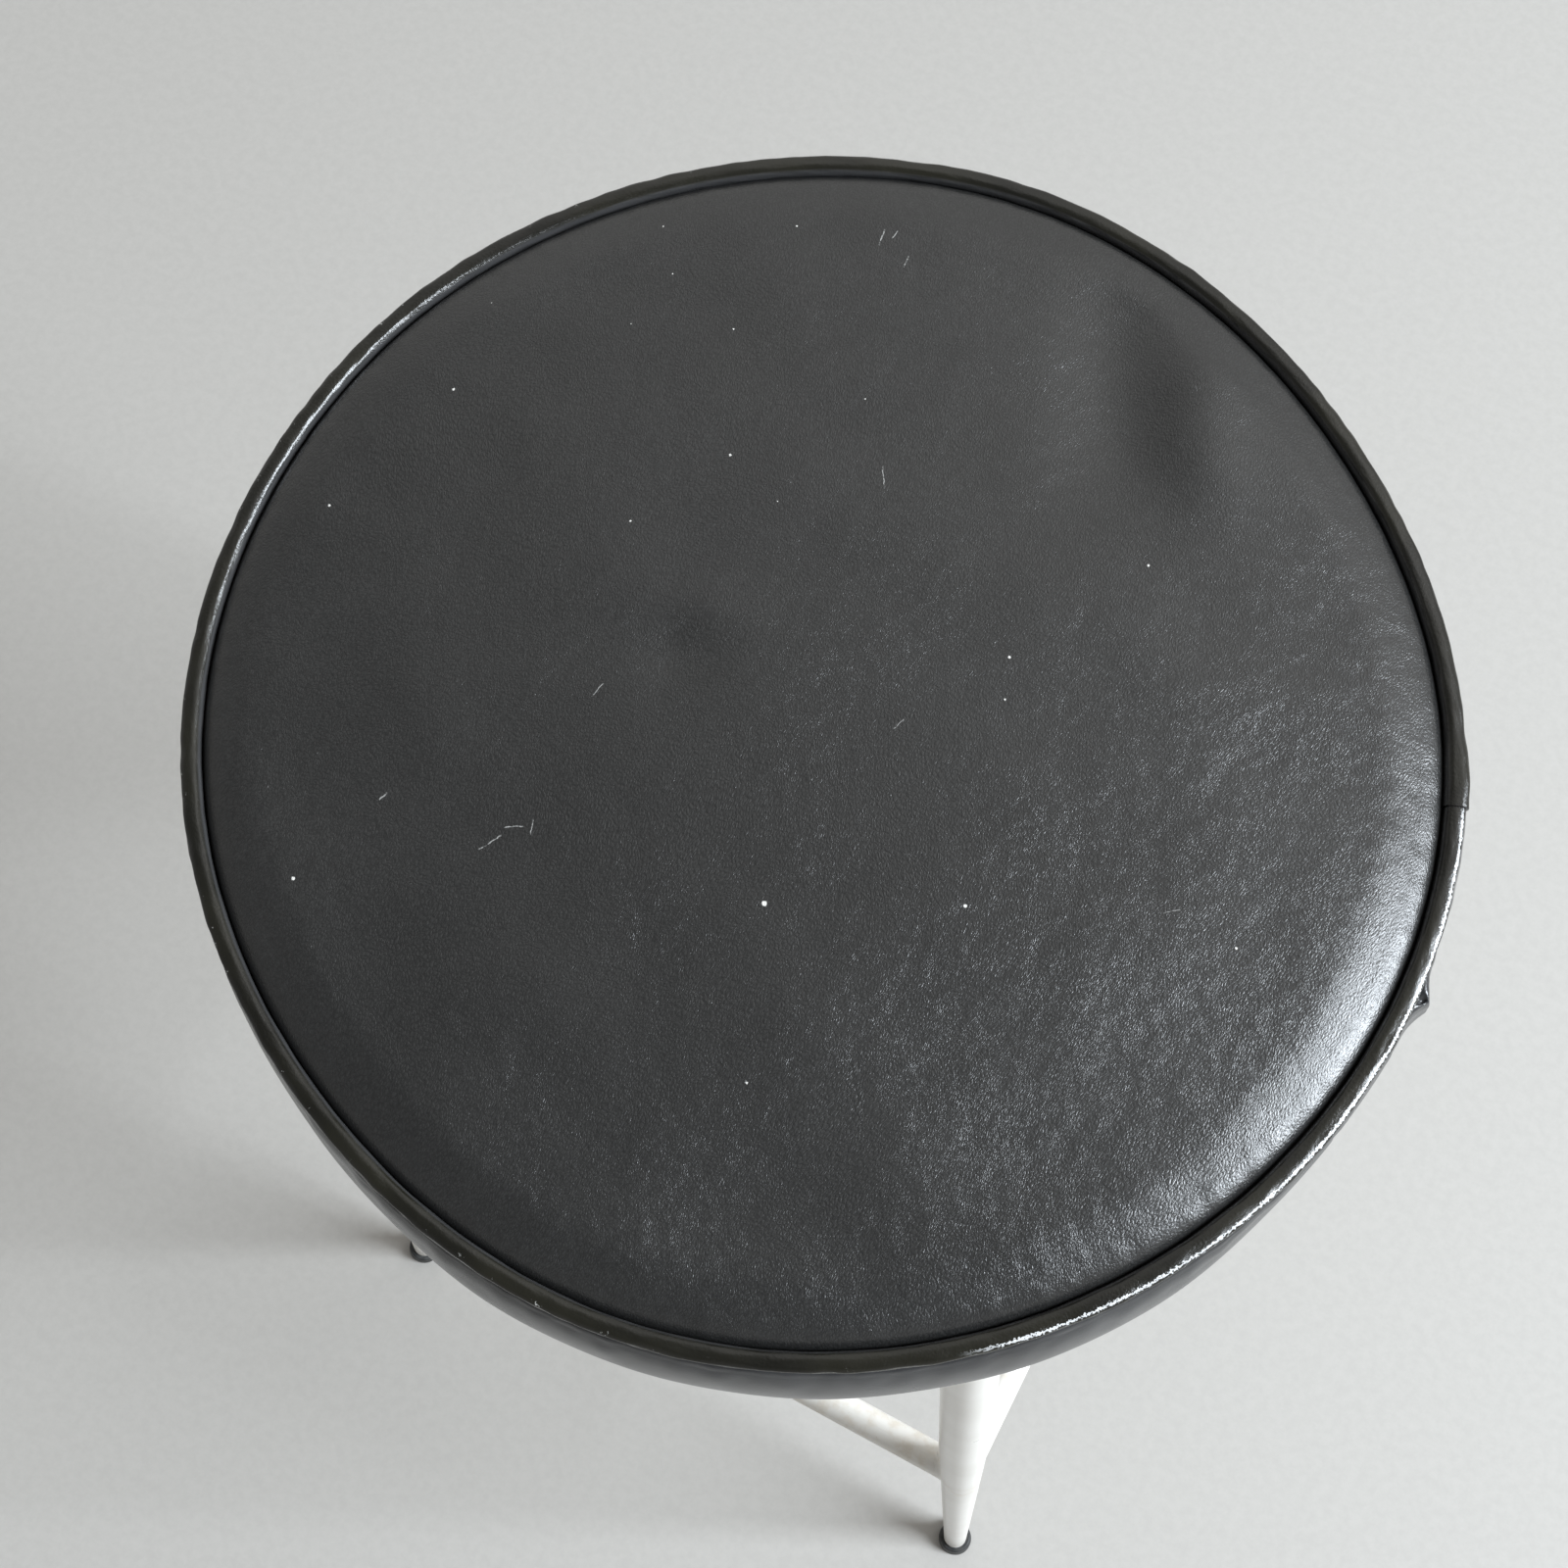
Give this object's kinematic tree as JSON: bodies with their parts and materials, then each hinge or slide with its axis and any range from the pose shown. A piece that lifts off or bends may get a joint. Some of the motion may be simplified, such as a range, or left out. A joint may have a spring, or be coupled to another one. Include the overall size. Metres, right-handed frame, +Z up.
{
  "type": "bar stool",
  "caption": "Round stool with a padded, welted vinyl seat on splayed tapered tube legs with a square footrest.",
  "frame": {"origin": "on the floor under the centre of the seat", "axes": "+Z up, -Y front; the legs stand on the diagonals and the footrest tubes run along X and Y"},
  "size_m": [0.3326, 0.3326, 0.701],
  "materials": {
    "vinyl": "black grained vinyl, satin",
    "white_paint": "semi-gloss white enamel",
    "foot_rubber": "matt black",
    "zinc": "zinc plated",
    "foam": "open-cell foam",
    "cord": "twisted paper cord",
    "plywood": "raw birch plywood",
    "lining": "black non-woven"
  },
  "bodies": {
    "root": {"top_panel": "vinyl", "welt": "vinyl", "side_band": "vinyl", "leg_front_right": "white_paint", "leg_front_left": "white_paint", "leg_rear_right": "white_paint", "leg_rear_left": "white_paint", "footrest_front": "white_paint", "footrest_rear": "white_paint", "footrest_left": "white_paint", "footrest_right": "white_paint", "footrest_welds": "white_paint", "ring_welds": "white_paint", "seat_ring": "white_paint", "foot_front_right": "foot_rubber", "foot_front_left": "foot_rubber", "foot_rear_right": "foot_rubber", "foot_rear_left": "foot_rubber", "seat_screws": "zinc", "seat_washers": "zinc", "seat_tee_nuts": "zinc", "hem_staples": "zinc", "cover_staples": "zinc", "foam_pad": "foam", "welt_cord": "cord", "seat_board": "plywood", "dust_cover": "lining"}
  },
  "joints": []
}
